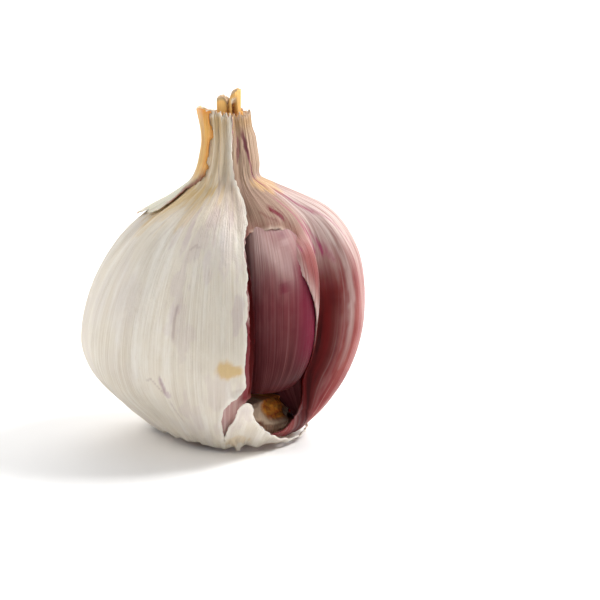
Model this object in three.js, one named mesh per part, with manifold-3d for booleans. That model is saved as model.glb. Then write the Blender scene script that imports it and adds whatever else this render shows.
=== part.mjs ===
// A partly peeled garlic bulb, standing on its root plate. Millimetres, +Z up.
// The origin is the centre of the flat spot it rests on. The opening faces the front, which is -Y,
// and angles round the bulb are in degrees from the front towards the right, which is +X.
import * as THREE from 'three';
import { LoftGeometry } from 'three/addons/geometries/LoftGeometry.js';
import { ParametricGeometry } from 'three/addons/geometries/ParametricGeometry.js';
import { mergeVertices } from 'three/addons/utils/BufferGeometryUtils.js';
import Module from 'manifold-3d';

const wasm = await Module();
wasm.setup();

// The ring of cloves, which every sheath is wrapped round. Its outline is slim and sloping on the left
// and full and square-shouldered on the right, and each half of it is a part of a superellipse.
const slimSide = { radius: 28.4, height: 21, depth: 22.9, low: 1.72, rise: 32, power: 1.8 };
const fullSide = { radius: 28.9, height: 28, depth: 31.7, low: 1.9, rise: 24.8, power: 2.8 };
const fullestAngle = 95;
const footTilt = -54;

// Seven cloves stand in the ring. One is missing, and a clove set further in shows through its place.
const emptyPlace = { start: 10, end: 64 };
const cloveCount = 7;
const pitch = (360 - emptyPlace.end + emptyPlace.start) / cloveCount;
const innerBelly = { radius: 24.3, height: 28, bottom: 11.2, top: 51.6 };

// The neck, the stalk inside it and the root plate
const neckTop = 70.2;
const scapeRadius = 2.5;
const scapeTop = 74.9;
const plateRadius = 13.4;
const plateTop = 12;
const plateClearance = 14;

// Clearance between one skin and the next, and how thick a skin is
const gap = 0.4;
const skin = 0.7;

// Deterministic noise, so that every build tears the skins alike
function seededNoise(seed) {
  let state = seed;
  return () => {
    state = (state * 16807) % 2147483647;
    return state / 2147483647;
  };
}

const radians = THREE.MathUtils.degToRad;
const smooth = THREE.MathUtils.smoothstep;
const mix = THREE.MathUtils.lerp;
const signedPower = (x, power) => Math.sign(x) * Math.abs(x) ** power;

// The neck stands slightly to the right of the bulb's own axis
function lean(z) {
  return 1.5 * smooth(z, 42, 61) - 0.5 * smooth(z, 62, 72);
}

function around(angle, radius, z) {
  const a = radians(angle);
  return new THREE.Vector3(lean(z) + radius * Math.sin(a), -radius * Math.cos(a), z);
}

// A closed three.js geometry as a manifold solid, and a solid as a geometry again
function solidOf(geometry) {
  const bare = new THREE.BufferGeometry();
  bare.setAttribute('position', geometry.attributes.position);
  bare.setIndex(geometry.index);
  const merged = mergeVertices(bare, 1e-3);
  const corners = [];
  const index = merged.index.array;
  for (let i = 0; i < index.length; i += 3) {
    const [a, b, c] = index.slice(i, i + 3);
    if (a !== b && b !== c && c !== a) corners.push(a, b, c);
  }
  return new wasm.Manifold(new wasm.Mesh({
    numProp: 3,
    vertProperties: merged.attributes.position.array,
    triVerts: new Uint32Array(corners),
  }));
}

function geometryOf(solid) {
  const { vertProperties, triVerts } = solid.getMesh();
  const geometry = new THREE.BufferGeometry();
  geometry.setAttribute('position', new THREE.BufferAttribute(vertProperties, 3));
  geometry.setIndex(new THREE.BufferAttribute(triVerts, 1));
  geometry.computeVertexNormals();
  return geometry;
}

// The largest body of a solid, which drops the loose scraps that a ragged cut leaves
function largestBody(solid) {
  return solid.decompose().sort((a, b) => b.volume() - a.volume())[0];
}

const garlic = new THREE.Group();
garlic.name = 'garlic_bulb';

function addPart(name, solid, look) {
  const mesh = new THREE.Mesh(geometryOf(solid), new THREE.MeshStandardMaterial({ metalness: 0, ...look }));
  mesh.name = name;
  garlic.add(mesh);
}

// How full the bulb is at an angle: 1 on its right, 0 on its left
function fullness(angle) {
  return Math.cos(radians(angle - fullestAngle) / 2) ** 4;
}

function outlineAt(angle) {
  const full = fullness(angle);
  return Object.fromEntries(Object.keys(slimSide).map((key) => [key, mix(slimSide[key], fullSide[key], full)]));
}

// A point of the ring's outline, at a tilt above or below its belly, and the ring's radius at a height
function ringPoint(angle, tilt) {
  const { radius, height, depth, low, rise, power } = outlineAt(angle);
  const t = radians(tilt);
  const bend = 2 / (tilt < 0 ? low : power);
  const reach = tilt < 0 ? depth : rise;
  return new THREE.Vector2(radius * Math.cos(t) ** bend, height + reach * signedPower(Math.sin(t), bend));
}

function ringRadius(angle, z) {
  const { radius, height, depth, low, rise, power } = outlineAt(angle);
  const bend = z < height ? low : power;
  const share = Math.abs(z - height) / (z < height ? depth : rise);
  return radius * Math.max(0, 1 - share ** bend) ** (1 / bend);
}

// The line that a sheath follows from the foot of the bulb, over the crown and up the neck
const ringTilts = [footTilt, -42, -28, -14, 0, 14, 28, 42, 54, 65];
const sheathRows = 24;

function meridian(angle) {
  const full = fullness(angle);
  const line = new THREE.SplineCurve([
    ...ringTilts.map((tilt) => ringPoint(angle, tilt)),
    new THREE.Vector2(mix(6.6, 9.4, full), mix(53.2, 53.5, full)),
    new THREE.Vector2(mix(4.7, 5.2, full), mix(57.2, 55.6, full)),
    new THREE.Vector2(mix(3.6, 3.7, full), mix(62, 61, full)),
    new THREE.Vector2(3.15, 66.5),
    new THREE.Vector2(3, 73),
  ]);
  return Array.from({ length: sheathRows + 1 }, (_, row) => {
    const share = row / sheathRows;
    const along = line.getTangentAt(share);
    return {
      share,
      point: line.getPointAt(share),
      normal: new THREE.Vector2(along.y, -along.x),
      body: smooth(share, 0, 0.12) * (1 - smooth(share, 0.62, 0.78)),
    };
  });
}

// 0 on the back of each clove and 1 in the valley between two
function valley(angle) {
  const onRing = THREE.MathUtils.euclideanModulo(angle - emptyPlace.end, 360);
  const pastRing = onRing - cloveCount * pitch;
  const share = pastRing > 0 ? pastRing / (emptyPlace.end - emptyPlace.start) : onRing / pitch;
  return Math.cos(Math.PI * share) ** 4;
}

// How far out the back of the inner clove reaches
function innerRadius(z) {
  const { radius, height, bottom, top } = innerBelly;
  const [reach, power] = z < height ? [height - bottom + 5, 2.6] : [top - height + 0.4, 3];
  return radius * Math.max(0, 1 - (Math.abs(z - height) / reach) ** power) ** (1 / power);
}

// How far the inner wrapper sinks into the empty place, down onto the clove behind it
function sunk(angle, point, normal) {
  const depth = Math.max(0, point.x - innerRadius(point.y)) * normal.x;
  const across = smooth(angle, 14, 24) * (1 - smooth(angle, 60, 74));
  return depth * across * smooth(point.y, 4, 14) * (1 - smooth(point.y, 47, 52));
}

// Folds that run up the neck
function pleat(angle) {
  return 0.22 * Math.sin(radians(9 * angle + 40)) + 0.12 * Math.sin(radians(17 * angle));
}

// A sheath has six columns to each clove and eight to the empty place
const cloveSteps = 6 * cloveCount;
const ringSteps = cloveSteps + 8;

function ringAngle(step) {
  const overGap = Math.max(0, step - cloveSteps) * (emptyPlace.end - emptyPlace.start) / 8;
  const angle = emptyPlace.end + Math.min(step, cloveSteps) * pitch / 6 + overGap;
  return THREE.MathUtils.euclideanModulo(angle + 180, 360) - 180;
}

const meridians = Array.from({ length: ringSteps }, (_, step) => meridian(ringAngle(step)));

// One sheath all round the bulb, as a closed shell: up its outer face, over the rim and down its inner face
function sheath({ inside, drape, lift = () => 0, sinks = false }) {
  const loopSteps = 2 * sheathRows + 2;
  const place = (u, v, target) => {
    const column = Math.round(u * ringSteps) % ringSteps;
    const step = Math.round(v * loopSteps) % loopSteps;
    const outer = step <= sheathRows;
    const { share, point, normal, body } = meridians[column][outer ? step : loopSteps - 1 - step];
    const angle = ringAngle(column);
    const folds = pleat(angle) * smooth(share, 0.74, 0.86);
    const drop = drape * valley(angle) * body + (sinks ? sunk(angle, point, normal) : 0);
    const out = inside + (outer ? skin : 0) + lift(share) + folds - drop;
    target.copy(around(angle, point.x + normal.x * out, point.y + normal.y * out));
  };
  return solidOf(new ParametricGeometry(place, ringSteps, loopSteps));
}

// A line torn from one point to the next: [angle, height] corners with small bites between them
function torn(corners, step, bite, seed) {
  const noise = seededNoise(seed);
  const millimetresPerDegree = 0.45;
  return corners.flatMap((start, i) => {
    const end = corners[(i + 1) % corners.length];
    const run = [(end[0] - start[0]) * millimetresPerDegree, end[1] - start[1]];
    const length = Math.hypot(...run);
    const pieces = Math.max(1, Math.round(length / step));
    return Array.from({ length: pieces }, (_, k) => {
      const push = k ? bite * (noise() - 0.5) : 0;
      return [
        mix(start[0], end[0], k / pieces) - (push * run[1]) / length / millimetresPerDegree,
        mix(start[1], end[1], k / pieces) + (push * run[0]) / length,
      ];
    });
  });
}

// Everything that lies within an outline drawn on the bulb's surface, from near its axis to well outside it.
// Each layer of the prism is half as far out again as the one before, which keeps its walls straight.
function radialPrism(outline) {
  const nearAxis = 1.2;
  const layers = 9;
  const shape = new THREE.Shape(outline.map(([angle, z]) => new THREE.Vector2(angle, z)));
  const geometry = new THREE.ExtrudeGeometry(shape, { depth: layers, steps: layers, bevelEnabled: false });
  const corner = geometry.attributes.position;
  for (let i = 0; i < corner.count; i++) {
    const placed = around(corner.getX(i), nearAxis * 1.5 ** corner.getZ(i), corner.getY(i));
    corner.setXYZ(i, placed.x, placed.y, placed.z);
  }
  return solidOf(geometry);
}

// What is cut off the top of the neck, with splintered fibres for its lower edge
function neckCut(height, bite, seed) {
  const noise = seededNoise(seed);
  const cut = new THREE.CylinderGeometry(20, 20, 12, 56, 1).rotateX(Math.PI / 2).translate(0, 0, height + 6);
  const welded = mergeVertices(cut.deleteAttribute('normal').deleteAttribute('uv'), 1e-3);
  const corner = welded.attributes.position;
  for (let i = 0; i < corner.count; i++) {
    const rim = Math.hypot(corner.getX(i), corner.getY(i)) > 10 && corner.getZ(i) < height + 1;
    if (rim) corner.setZ(i, height + 4 * bite * (noise() - 0.5));
  }
  return solidOf(welded);
}

// One clove: a wedge of the ring with a round back, flat flanks and a tip drawn in towards the neck
function clove({ centre, halfWidth, radiusAt, insideAt, bottom, top, tipTaper }) {
  const squareness = 0.7;
  const levels = 13;
  const aroundSteps = 16;
  const sections = Array.from({ length: levels }, (_, level) => {
    const share = mix(0.012, 0.988, level / (levels - 1));
    const z = mix(bottom, top, (1 - Math.cos(Math.PI * share)) / 2);
    const outside = radiusAt(z);
    const inside = Math.min(insideAt(z), outside - 0.2);
    const middle = (outside + inside) / 2;
    const half = ((outside - inside) / 2) * Math.sin(Math.PI * share) ** 0.25;
    const narrowing = Math.sin(Math.PI * share) ** (share > 0.5 ? tipTaper : 0.4);
    return Array.from({ length: aroundSteps }, (__, step) => {
      const turn = (2 * Math.PI * step) / aroundSteps;
      const radius = middle + half * signedPower(Math.cos(turn), squareness);
      const clear = halfWidth - THREE.MathUtils.radToDeg(gap / 2 / radius);
      return around(centre + clear * narrowing * signedPower(Math.sin(turn), squareness), radius, z);
    });
  });
  return solidOf(new LoftGeometry(sections, { capStart: true, capEnd: true }));
}

// The side of a clove that faces the axis: round the root plate at the foot, then up beside the stalk
function besidePlate(z) {
  const besideStalk = 4.3;
  if (z < 5.5) return plateClearance;
  return Math.max(besideStalk, mix(plateClearance, besideStalk, (z - 5.5) / 7.4));
}

function ringClove(centre) {
  const { radius, height, rise, power } = outlineAt(centre);
  const tipRadius = 6.3;
  return clove({
    centre,
    halfWidth: pitch / 2,
    radiusAt: (z) => ringRadius(centre, z),
    insideAt: (z) => besidePlate(z) + 2 * smooth(z, 42, 52),
    bottom: 4.1,
    top: height + rise * (1 - (tipRadius / radius) ** power) ** (1 / power),
    tipTaper: 0.55,
  });
}

function innerClove() {
  return clove({
    centre: (emptyPlace.start + emptyPlace.end) / 2,
    halfWidth: (emptyPlace.end - emptyPlace.start) / 2 - 0.8,
    radiusAt: innerRadius,
    insideAt: (z) => besidePlate(z) + 2 * smooth(z, 42, 51),
    bottom: innerBelly.bottom,
    top: innerBelly.top,
    tipTaper: 0.3,
  });
}

// An ellipsoid with its width across, its depth out from the axis and its own tilt back
function ellipsoidAt(angle, radius, z, size, tiltBack) {
  const ball = new THREE.SphereGeometry(1, 14, 9).scale(size.across, size.out, size.up);
  const spot = around(angle, radius, z);
  return solidOf(ball.rotateX(radians(-tiltBack)).rotateZ(radians(angle)).translate(spot.x, spot.y, spot.z));
}

// The root plate: a low cone of stem with a flat spot below and root stubs round it. Where the missing clove
// was broken off, its foot still swells out of the plate, with a hollow scar on top.
function basalPlate() {
  const rim = 0.9;
  const outline = [
    [0, 0], [6.2, 0], [7, rim], [10.8, rim + 0.5], [12.8, 2.4], [plateRadius, 4.2], [12.8, 5.4],
    [9.6, 8], [6.4, 10], [3.6, 11.6], [2.4, plateTop], [0, plateTop],
  ].map(([r, z]) => new THREE.Vector2(r, z));
  const scarAngle = 43;
  let plate = solidOf(new THREE.LatheGeometry(outline, 30).rotateX(Math.PI / 2));
  plate = plate.add(ellipsoidAt(scarAngle, 12.4, 4.9, { across: 4.7, out: 3.2, up: 4.4 }, 0));
  plate = plate.subtract(ellipsoidAt(scarAngle, 15, 9.3, { across: 4, out: 1.7, up: 3.1 }, 50));
  const noise = seededNoise(11);
  for (const [ring, count] of [[8.1, 10], [10, 14]]) {
    for (let i = 0; i < count; i++) {
      const angle = (360 * (i + 0.6 * noise())) / count;
      const length = 2.6;
      const stub = new THREE.CylinderGeometry(0.55, 0.42, length, 5).rotateX(Math.PI / 2);
      const spot = around(angle, ring + 0.5 * noise(), length / 2 + 0.15 + 0.5 * noise());
      plate = plate.add(solidOf(stub.translate(spot.x, spot.y, spot.z)));
    }
  }
  return largestBody(plate);
}

// The hard stalk, with its top cut on a slant and split down the middle
function scape() {
  const foot = plateTop + 0.3;
  const rings = [[foot, 2.4], [30, 2.5], [55, scapeRadius], [72, scapeRadius], [scapeTop + 2, 2.5]];
  const sections = rings.map(([z, radius]) =>
    Array.from({ length: 16 }, (_, i) => around((360 * i) / 16, radius * (1 + 0.05 * Math.cos(i * 2.4)), z)));
  const stalk = solidOf(new LoftGeometry(sections, { capStart: true, capEnd: true }));
  const slant = new THREE.BoxGeometry(12, 12, 6).rotateY(radians(-25)).translate(lean(scapeTop), 0, scapeTop + 2.1);
  const split = new THREE.BoxGeometry(0.7, 8, 7).rotateY(radians(6)).rotateZ(radians(24));
  split.translate(lean(scapeTop) - 0.3, 0, scapeTop + 1);
  return largestBody(stalk.subtract(solidOf(slant)).subtract(solidOf(split)));
}

// The opening of the outer wrapper: the torn edge up the front, the notch and the flap at its foot, the low
// rim under the empty place, and the back edge
function outerWrapper() {
  const opening = torn([
    [12, 80], [9, 70], [2.5, 65], [1.5, 62], [3.5, 59.2], [9, 54.6], [13, 52.4], [15, 50.3], [12.5, 46.9],
    [10.6, 44.5], [10.5, 40], [9.5, 36], [9, 29], [8.5, 22], [9, 15.8], [2.5, 13.4], [-0.6, 10.8],
    [-0.6, 8], [0, 5], [4, 8.6], [7.5, 11.2], [9, 13], [12.5, 13.2], [15, 12], [17, 8.8], [21.5, 6.5],
    [28, 4.6], [40, 3.4], [60, 3.2], [95, 3.2], [128, 5], [146, 14], [151, 28], [153, 42], [152, 50],
    [146, 55], [134, 60], [122, 66], [116, 72], [116, 80],
  ], 2.6, 0.6, 5);
  const whole = sheath({ inside: gap + skin + gap, drape: 1 });
  return largestBody(whole.subtract(radialPrism(opening)).subtract(neckCut(neckTop, 0.45, 21)));
}

// The inner wrapper shows on the right and round the neck. Its window lets the clove behind the empty place
// be seen, and it is only as wide as shows, with a tongue left under the outer wrapper's torn edge.
function innerWrapper() {
  const window = torn([
    [14.5, 6], [14.5, 22], [14, 36], [12.5, 42], [12, 46], [16, 47.9], [24, 48.4], [33, 48.9], [45, 48.6],
    [51, 48], [44, 45.6], [41, 43], [43, 39], [47.5, 35], [51, 31.6], [57, 27], [60, 23], [61.5, 17],
    [61, 11], [56, 6.8], [46, 4.8], [26, 4.4],
  ], 2.8, 0.6, 9);
  const hidden = torn([[-190, -2], [-26, -2], [-26, 50], [-40, 55], [-150, 55], [-190, 50]], 5, 0, 1);
  const whole = sheath({ inside: gap, drape: 1.5, sinks: true });
  return largestBody(
    whole.subtract(radialPrism(window)).subtract(radialPrism(hidden)).subtract(neckCut(neckTop - 0.3, 0.5, 33)),
  );
}

// The outermost leaf is mostly gone: what is left lies on the left shoulder and stands off the neck
function looseLeaf() {
  const left = torn([
    [-72, 71.6], [-71, 66], [-69, 62], [-77, 57.5], [-77, 53.4], [-71, 49.4], [-82, 47.6], [-100, 46.2],
    [-120, 48], [-138, 52], [-144, 58], [-136, 64], [-130, 71], [-112, 71.6], [-92, 71],
  ], 2, 0.7, 3);
  const lift = (share) => 0.3 * smooth(share, 0.78, 0.9) + 0.7 * smooth(share, 0.88, 1);
  return largestBody(sheath({ inside: 3 * gap + 2 * skin, drape: 0.8, lift }).intersect(radialPrism(left)));
}

const paper = { color: '#d9d0c0', roughness: 0.6 };
addPart('outer_wrapper', outerWrapper(), paper);
addPart('inner_wrapper', innerWrapper(), { color: '#b58c8a', roughness: 0.4 });
addPart('loose_leaf', looseLeaf(), { color: '#e0c69a', roughness: 0.6 });
addPart('scape', scape(), { color: '#c99657', roughness: 0.8 });
addPart('basal_plate', basalPlate(), { color: '#8f6438', roughness: 0.85 });

const cloveLook = { color: '#7d3f45', roughness: 0.35 };
addPart('inner_clove', innerClove(), cloveLook);
for (let place = 0; place < cloveCount; place++) {
  addPart(`clove_${place + 1}`, ringClove(emptyPlace.end + pitch * (place + 0.5)), cloveLook);
}

export default garlic;
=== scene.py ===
import bpy
import numpy as np
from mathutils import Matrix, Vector, kdtree


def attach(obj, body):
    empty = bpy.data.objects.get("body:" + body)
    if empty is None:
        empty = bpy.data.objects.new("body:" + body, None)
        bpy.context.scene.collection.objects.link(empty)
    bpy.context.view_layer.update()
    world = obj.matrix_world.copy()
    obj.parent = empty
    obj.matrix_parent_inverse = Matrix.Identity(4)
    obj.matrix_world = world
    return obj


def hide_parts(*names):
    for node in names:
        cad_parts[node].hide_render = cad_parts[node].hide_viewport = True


MM = 0.001
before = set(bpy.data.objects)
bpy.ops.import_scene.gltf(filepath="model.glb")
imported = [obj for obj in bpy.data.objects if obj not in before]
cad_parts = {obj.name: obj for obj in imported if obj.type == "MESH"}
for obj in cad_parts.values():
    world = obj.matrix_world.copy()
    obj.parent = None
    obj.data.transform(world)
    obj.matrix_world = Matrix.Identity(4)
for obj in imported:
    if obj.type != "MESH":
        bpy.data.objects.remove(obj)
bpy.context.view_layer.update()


# The ring of cloves that every skin is wrapped round: slim and sloping on the left, full on the right
SLIM_SIDE = {"radius": 28.4, "height": 21.0, "depth": 22.9, "low": 1.72, "rise": 32.0, "power": 1.8}
FULL_SIDE = {"radius": 28.9, "height": 28.0, "depth": 31.7, "low": 1.9, "rise": 24.8, "power": 2.8}
FULLEST_ANGLE = 95.0
RING_TILTS = (-54, -42, -28, -14, 0, 14, 28, 42, 54, 65)
NECK_SLIM = ((6.6, 53.2), (4.7, 57.2), (3.6, 62.0), (3.15, 66.5), (3.0, 73.0))
NECK_FULL = ((9.4, 53.5), (5.2, 55.6), (3.7, 61.0), (3.15, 66.5), (3.0, 73.0))
NECK_TOP = 70.2
NECK_RADIUS = 2.5
MERIDIAN_LENGTH = 96.0
MERIDIAN_SAMPLES = 401

# The cloves, and the place of the missing one, in degrees and millimetres
EMPTY_START, EMPTY_END = 10.0, 64.0
CLOVE_COUNT = 7
PITCH = (360 - EMPTY_END + EMPTY_START) / CLOVE_COUNT
INNER_BELLY = {"radius": 24.3, "height": 28.0, "bottom": 11.2, "top": 51.6}
RING_BOTTOM = 4.1
TIP_RADIUS = 6.3
GAP = 0.4
PLATE_CLEARANCE, PLATE_HEIGHT = 14.0, 5.5
STALK_CLEARANCE, SLOPE_RISE = 4.3, 7.4

# How far each skin's outer face lies outside the ring
INNER_OUT = 1.1
UNDER_OUT = 1.75
OUTER_OUT = 2.2
LEAF_OUT = 2.65
SKIN_ROWS = 190

# How thick the skins are
WRAPPER_THICKNESS = 0.28
UNDER_THICKNESS = 0.2
SKIN_THICKNESS = 0.3
LEAF_THICKNESS = 0.16
CORE_THICKNESS = 0.06

# How far the foot is drawn in, where it is drawn in most: the skins, and the cloves under them
FOOT_TUCK = 3.2
CLOVE_TUCK = 2.3


def smooth(x, start, end):
    t = np.clip((x - start) / (end - start), 0, 1)
    return t * t * (3 - 2 * t)


def hill(x, start, top, fall, end):
    """Rises from 0 to 1, and falls back to 0 further on."""
    return smooth(x, start, top) * (1 - smooth(x, fall, end))


def mix(a, b, share):
    return a + (b - a) * share


def signed_power(x, power):
    return np.sign(x) * np.abs(x) ** power


def lean(z):
    """The neck stands slightly to the right of the bulb's own axis."""
    return 1.5 * smooth(z, 42, 61) - 0.5 * smooth(z, 62, 72)


def place(angle, radius, z):
    turn = np.radians(angle)
    return np.stack(np.broadcast_arrays(lean(z) + radius * np.sin(turn), -radius * np.cos(turn), z), -1)


# Seeded noise that repeats after a whole turn, and after this many cells upwards
NOISE_ROWS = 64


def noise(u, v, around, seed):
    """Smooth noise from -1 to 1. u counts cells round the bulb and repeats after around of them."""
    up = NOISE_ROWS
    grid = np.random.default_rng(seed).uniform(-1, 1, (around, up))
    column, row = np.floor(u).astype(int), np.floor(v).astype(int)
    across, along = u - column, v - row
    across, along = across * across * (3 - 2 * across), along * along * (3 - 2 * along)
    low = mix(grid[column % around, row % up], grid[(column + 1) % around, row % up], across)
    high = mix(grid[column % around, (row + 1) % up], grid[(column + 1) % around, (row + 1) % up], across)
    return mix(low, high, along)


def folds(angle, height, around, rise, seed, octaves=3):
    """Layered noise with around cells in a turn, each rise millimetres tall."""
    total = 0
    for octave in range(octaves):
        cells = around * 2 ** octave
        layer = noise(angle / 360 * cells, height / rise * 2 ** octave, cells, seed + octave)
        total = total + layer / 2 ** octave
    return total


# The outline of the ring

def fullness(angle):
    return np.cos(np.radians(angle - FULLEST_ANGLE) / 2) ** 4


def outline_at(angle):
    full = fullness(angle)
    return {key: mix(SLIM_SIDE[key], FULL_SIDE[key], full) for key in SLIM_SIDE}


def ring_point(angle, tilt):
    shape = outline_at(angle)
    turn = np.radians(tilt)
    bend = 2 / (shape["low"] if tilt < 0 else shape["power"])
    reach = shape["depth"] if tilt < 0 else shape["rise"]
    return shape["radius"] * np.cos(turn) ** bend, shape["height"] + reach * signed_power(np.sin(turn), bend)


def ring_radius(angle, z):
    shape = outline_at(angle)
    low = z < shape["height"]
    bend = np.where(low, shape["low"], shape["power"])
    share = np.abs(z - shape["height"]) / np.where(low, shape["depth"], shape["rise"])
    return shape["radius"] * np.maximum(0, 1 - share ** bend) ** (1 / bend)


def spline(knots, samples):
    """A smooth curve through knots of shape (count, columns, 2)."""
    last = len(knots) - 1
    t = np.linspace(0, last, samples)
    i = np.minimum(t.astype(int), last - 1)
    w = (t - i)[:, None, None]
    before, start = knots[np.maximum(i - 1, 0)], knots[i]
    end, after = knots[i + 1], knots[np.minimum(i + 2, last)]
    leave, arrive = (end - before) / 2, (after - start) / 2
    return (
        (2 * start - 2 * end + leave + arrive) * w ** 3
        + (3 * end - 3 * start - 2 * leave - arrive) * w ** 2
        + leave * w
        + start
    )


def meridians(angles, shares):
    """Radius, height and outward normal along the lines that run from the foot up the neck."""
    full = fullness(angles)
    knots = [np.stack(ring_point(angles, tilt), -1) for tilt in RING_TILTS]
    for slim, plump in zip(NECK_SLIM, NECK_FULL):
        knots.append(np.stack([mix(slim[0], plump[0], full), mix(slim[1], plump[1], full)], -1))
    curve = spline(np.stack(knots), MERIDIAN_SAMPLES)
    run = np.linalg.norm(np.diff(curve, axis=0), axis=2).cumsum(0)
    run = np.vstack([np.zeros(len(angles)), run]) / run[-1]
    line = np.empty((len(shares), len(angles), 2))
    for column in range(len(angles)):
        for axis in range(2):
            line[:, column, axis] = np.interp(shares, run[:, column], curve[:, column, axis])
    along = np.gradient(line, axis=0)
    along /= np.linalg.norm(along, axis=2)[..., None]
    return line[..., 0], line[..., 1], along[..., 1], -along[..., 0]


def valley(angle):
    """0 on the back of each clove and 1 in the valley between two."""
    past = np.mod(angle - EMPTY_END, 360)
    on_ring = np.cos(np.pi * past / PITCH) ** 4
    over_gap = np.cos(np.pi * (past - CLOVE_COUNT * PITCH) / (EMPTY_END - EMPTY_START)) ** 4
    return np.where(past < CLOVE_COUNT * PITCH, on_ring, over_gap)


def inner_radius(z):
    belly = INNER_BELLY
    low = z < belly["height"]
    reach = np.where(low, belly["height"] - belly["bottom"] + 5, belly["top"] - belly["height"] + 0.4)
    power = np.where(low, 2.6, 3.0)
    return belly["radius"] * np.maximum(0, 1 - (np.abs(z - belly["height"]) / reach) ** power) ** (1 / power)


def sunk(angle, radius, z, normal):
    """How far the inner skin sinks into the empty place, down onto the clove behind it."""
    depth = np.maximum(0, radius - inner_radius(z)) * normal
    tucked = 2.2 * hill(angle, 54, 61.5, 61.5, 71) * (1 - smooth(z, 40, 49))
    return (depth * hill(angle, 14, 24, 60, 74) + tucked) * hill(z, 4, 14, 47, 52)


def foot_tuck(angle, z):
    """The bulb draws in under its front left side, a little more than a plain ring does."""
    return np.exp(-((angle + 58) / 34) ** 2) * (1 - smooth(z, 6, 16))


def neck_pleats(angle):
    return 0.22 * np.sin(np.radians(9 * angle + 40)) + 0.12 * np.sin(np.radians(17 * angle))


# What stands for a point's distance to the nearest cut, in millimetres, before a skin is cut
FAR_INSIDE = 40.0


class Skin:
    """A grid of points over the bulb, in columns of one angle and rows from the foot to the neck."""

    def __init__(self, angles, out, drape, sinks=False, whole_turn=False):
        self.whole_turn = whole_turn
        shares = np.linspace(0, 1, SKIN_ROWS + 1)
        self.radius, self.z, self.normal_r, self.normal_z = meridians(angles, shares)
        self.column_angles = angles
        self.angle = np.broadcast_to(np.mod(angles + 180, 360) - 180, self.z.shape)
        self.share = np.broadcast_to(shares[:, None], self.z.shape)
        draped = drape * valley(self.angle) * hill(self.share, 0, 0.12, 0.62, 0.78)
        self.out = out + neck_pleats(self.angle) * smooth(self.share, 0.74, 0.86) - draped
        if sinks:
            self.out = self.out - sunk(self.angle, self.radius, self.z, self.normal_r)
        self.inside = np.full(self.z.shape, FAR_INSIDE)

    def points(self):
        radius = self.radius + self.normal_r * self.out - FOOT_TUCK * foot_tuck(self.angle, self.z)
        return place(self.angle, radius, self.z + self.normal_z * self.out)

    def beside_cut(self, width):
        """1 at a cut edge, fading out over a width."""
        return np.exp(-np.maximum(self.inside, 0) / width)

    def on_ring(self, angle, z):
        """Points of the base surface, for a line drawn in angle and height."""
        columns = np.abs(np.mod(self.column_angles[None] - angle[:, None] + 180, 360) - 180).argmin(1)
        radius = [np.interp(h, self.z[:, c], self.radius[:, c]) for h, c in zip(z, columns)]
        return place(angle, np.array(radius), z)

    def cut(self, outline, keep=False):
        """Takes an outline out of the skin, or keeps only what lies within it."""
        base = place(self.angle, self.radius, self.z).reshape(-1, 3)
        tree = kdtree.KDTree(len(outline))
        for i, spot in enumerate(self.on_ring(outline[:, 0], outline[:, 1])):
            tree.insert(Vector(spot), i)
        tree.balance()
        away = np.array([tree.find(Vector(spot))[2] for spot in base]).reshape(self.z.shape)
        within = encloses(outline, self.angle, self.z) | encloses(outline, self.angle - 360, self.z)
        signed = np.where(within == keep, away, -away)
        self.inside = np.minimum(self.inside, signed)


def encloses(outline, angle, z):
    """Which points lie within a closed outline of angles and heights."""
    within = np.zeros(angle.shape, bool)
    for (a0, z0), (a1, z1) in zip(outline, np.roll(outline, -1, 0)):
        if z0 == z1:
            continue
        crosses = (z0 > z) != (z1 > z)
        within ^= crosses & (angle < a0 + (a1 - a0) * (z - z0) / (z1 - z0))
    return within


# A tear wanders over several lengths at once: (length, how far), in millimetres. It has a nick now and then,
# and its noise has so many cells that no tear repeats.
TEAR_SIZES = ((4.6, 0.9), (1.3, 0.35), (0.55, 0.3), (0.24, 0.14))
NICK_SPACING, NICK_DEPTH = 2.1, 3.0
TEAR_CELLS = 997
TEAR_LEAST_RADIUS, TEAR_RING_TOP = 3.5, 52.0


def torn(corners, seed, bite=0.5, step=0.12):
    """Draws an outline's sides as finely torn lines."""
    lines = []
    travelled = 0.0
    corners = np.array(corners, float)
    for start, end in zip(corners, np.roll(corners, -1, 0)):
        radius = float(ring_radius(start[0], min(start[1], TEAR_RING_TOP)))
        per_degree = np.radians(max(TEAR_LEAST_RADIUS, radius))
        run = (end - start) * (per_degree, 1)
        length = max(np.hypot(*run), 1e-6)
        share = np.arange(0, 1, step / length)
        at = travelled + share * length
        push = 0
        for i, (size, reach) in enumerate(TEAR_SIZES):
            push = push + noise(at / size, 0, TEAR_CELLS, seed + i) * reach
        nick = np.maximum(0, noise(at / NICK_SPACING, 0, TEAR_CELLS, seed + 7) - 0.72) * NICK_DEPTH
        ends = np.minimum(1, 4 * np.minimum(share, 1 - share) + 0.3)
        push = (push - nick) * bite * ends
        line = start + (end - start) * share[:, None]
        line[:, 0] -= push * run[1] / length / per_degree
        line[:, 1] += push * run[0] / length
        lines.append(line)
        travelled += length
    return np.vstack(lines)


# Meshes. A cut never comes nearer to a grid point than this share of a cell.
LEAST_SHARE = 0.02


def mesh_object(name, points, faces):
    mesh = bpy.data.meshes.new(name)
    mesh.from_pydata((np.asarray(points) * MM).tolist(), [], faces)
    mesh.validate()
    mesh.shade_smooth()
    piece = bpy.data.objects.new(name, mesh)
    bpy.context.scene.collection.objects.link(piece)
    return piece


def store(piece, name, values):
    """Keeps one value or one vector a point, for the materials to read."""
    values = np.asarray(values, float)
    kind, key = ("FLOAT", "value") if values.ndim == 1 else ("FLOAT_VECTOR", "vector")
    piece.data.attributes.new(name, kind, "POINT").data.foreach_set(key, values.ravel())


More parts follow.
